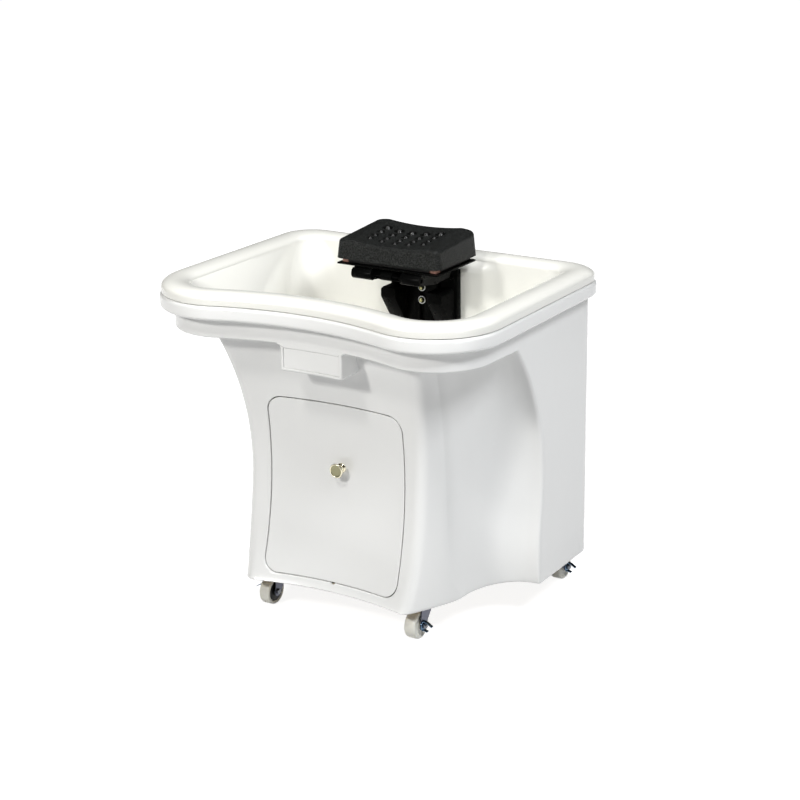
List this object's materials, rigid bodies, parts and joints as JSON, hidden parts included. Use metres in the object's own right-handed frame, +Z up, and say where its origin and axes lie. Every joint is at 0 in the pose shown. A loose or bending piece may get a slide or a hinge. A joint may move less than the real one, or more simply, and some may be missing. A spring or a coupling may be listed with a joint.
{
  "type": "mobile shampoo basin",
  "caption": "Free-standing moulded shampoo basin on braked swivel casters, with a neck hollow, a magnetic front door and a sliding, tilting head rest over the bowl.",
  "frame": {"origin": "on the floor, under the middle of the rim", "axes": "+Z up; -Y towards the client, where the neck hollow and the door are; +X to the right when facing the door"},
  "size_m": [0.66, 0.52, 0.6639],
  "materials": {
    "gelcoat": "gloss white moulded shell",
    "basin_gelcoat": "gloss warm white moulded bowl",
    "base_plywood": "raw plywood",
    "magnet_steel": "plated",
    "knob_metal": "satin champagne",
    "fixing_steel": "zinc plated",
    "drain_steel": "polished",
    "drain_nuts": "moulded",
    "gasket_rubber": "soft",
    "caster_steel": "zinc plated pressed steel",
    "axle_steel": "zinc plated",
    "wheel_nylon": "cream nylon",
    "brake_steel": "blue plated pressed steel",
    "headrest_black": "black powder coat",
    "hinge_steel": "blackened",
    "clamp_brass": "plated",
    "board_plywood": "raw plywood edge",
    "pillow_skin": "grained integral-skin foam"
  },
  "bodies": {
    "cabinet": {"cabinet_shell": "gelcoat", "basin": "basin_gelcoat", "base_board": "base_plywood", "door_frame": "gelcoat", "door_magnets": "magnet_steel", "label_frame": "gelcoat", "label_plate": "gelcoat", "drain_body": "drain_steel", "drain_gasket": "gasket_rubber", "drain_locknut": "drain_nuts", "drain_tailpiece": "drain_steel", "tailpiece_nut": "drain_nuts", "caster_plates": "caster_steel", "caster_plate_screws": "fixing_steel", "headrest_bracket": "headrest_black", "bracket_screws": "fixing_steel", "clamp_bolts": "clamp_brass", "clamp_washers": "fixing_steel"},
    "door": {"door_panel": "gelcoat", "door_strikes": "magnet_steel", "door_knob": "knob_metal", "knob_rosette": "knob_metal", "knob_screw": "fixing_steel"},
    "strainer": {"drain_strainer": "drain_steel"},
    "headrest": {"headrest_arm": "headrest_black", "hinge_pin": "hinge_steel"},
    "pillow_mount": {"tilt_plate": "headrest_black", "pillow_board": "board_plywood", "board_screws": "fixing_steel", "pillow": "pillow_skin"},
    "swivel_front_left": {"fork_front_left": "caster_steel", "axle_front_left": "axle_steel"},
    "roller_front_left": {"wheel_front_left": "wheel_nylon"},
    "lever_front_left": {"brake_front_left": "brake_steel"},
    "swivel_front_right": {"fork_front_right": "caster_steel", "axle_front_right": "axle_steel"},
    "roller_front_right": {"wheel_front_right": "wheel_nylon"},
    "lever_front_right": {"brake_front_right": "brake_steel"},
    "swivel_rear_left": {"fork_rear_left": "caster_steel", "axle_rear_left": "axle_steel"},
    "roller_rear_left": {"wheel_rear_left": "wheel_nylon"},
    "lever_rear_left": {"brake_rear_left": "brake_steel"},
    "swivel_rear_right": {"fork_rear_right": "caster_steel", "axle_rear_right": "axle_steel"},
    "roller_rear_right": {"wheel_rear_right": "wheel_nylon"},
    "lever_rear_right": {"brake_rear_right": "brake_steel"}
  },
  "joints": [
    {"name": "door_pull", "type": "slide", "parent": "cabinet", "child": "door", "axis": [0, -1, 0], "range_m": [0, 0.15]},
    {"name": "strainer_lift", "type": "slide", "parent": "cabinet", "child": "strainer", "axis": [0, 0, 1], "range_m": [0, 0.06]},
    {"name": "headrest_height", "type": "slide", "parent": "cabinet", "child": "headrest", "axis": [0, 0, 1], "range_m": [-0.008, 0.052]},
    {"name": "headrest_tilt", "type": "hinge", "parent": "headrest", "child": "pillow_mount", "pos_m": [0, 0.046, 0.593], "axis": [1, 0, 0], "range_deg": [0, 40]},
    {"name": "swivel_front_left", "type": "hinge", "parent": "cabinet", "child": "swivel_front_left", "pos_m": [-0.153, -0.103, 0.06], "axis": [0, 0, 1], "continuous": true},
    {"name": "roll_front_left", "type": "hinge", "parent": "swivel_front_left", "child": "roller_front_left", "pos_m": [-0.153, -0.123, 0.025], "axis": [1, 0, 0], "continuous": true},
    {"name": "brake_front_left", "type": "hinge", "parent": "swivel_front_left", "child": "lever_front_left", "pos_m": [-0.153, -0.123, 0.025], "axis": [1, 0, 0], "range_deg": [-20, 20]},
    {"name": "swivel_front_right", "type": "hinge", "parent": "cabinet", "child": "swivel_front_right", "pos_m": [0.153, -0.103, 0.06], "axis": [0, 0, 1], "continuous": true},
    {"name": "roll_front_right", "type": "hinge", "parent": "swivel_front_right", "child": "roller_front_right", "pos_m": [0.153, -0.123, 0.025], "axis": [1, 0, 0], "continuous": true},
    {"name": "brake_front_right", "type": "hinge", "parent": "swivel_front_right", "child": "lever_front_right", "pos_m": [0.153, -0.123, 0.025], "axis": [1, 0, 0], "range_deg": [-20, 20]},
    {"name": "swivel_rear_left", "type": "hinge", "parent": "cabinet", "child": "swivel_rear_left", "pos_m": [-0.255, 0.213, 0.06], "axis": [0, 0, 1], "continuous": true},
    {"name": "roll_rear_left", "type": "hinge", "parent": "swivel_rear_left", "child": "roller_rear_left", "pos_m": [-0.255, 0.233, 0.025], "axis": [1, 0, 0], "continuous": true},
    {"name": "brake_rear_left", "type": "hinge", "parent": "swivel_rear_left", "child": "lever_rear_left", "pos_m": [-0.255, 0.233, 0.025], "axis": [1, 0, 0], "range_deg": [-20, 20]},
    {"name": "swivel_rear_right", "type": "hinge", "parent": "cabinet", "child": "swivel_rear_right", "pos_m": [0.255, 0.213, 0.06], "axis": [0, 0, 1], "continuous": true},
    {"name": "roll_rear_right", "type": "hinge", "parent": "swivel_rear_right", "child": "roller_rear_right", "pos_m": [0.255, 0.233, 0.025], "axis": [1, 0, 0], "continuous": true},
    {"name": "brake_rear_right", "type": "hinge", "parent": "swivel_rear_right", "child": "lever_rear_right", "pos_m": [0.255, 0.233, 0.025], "axis": [1, 0, 0], "range_deg": [-20, 20]}
  ]
}
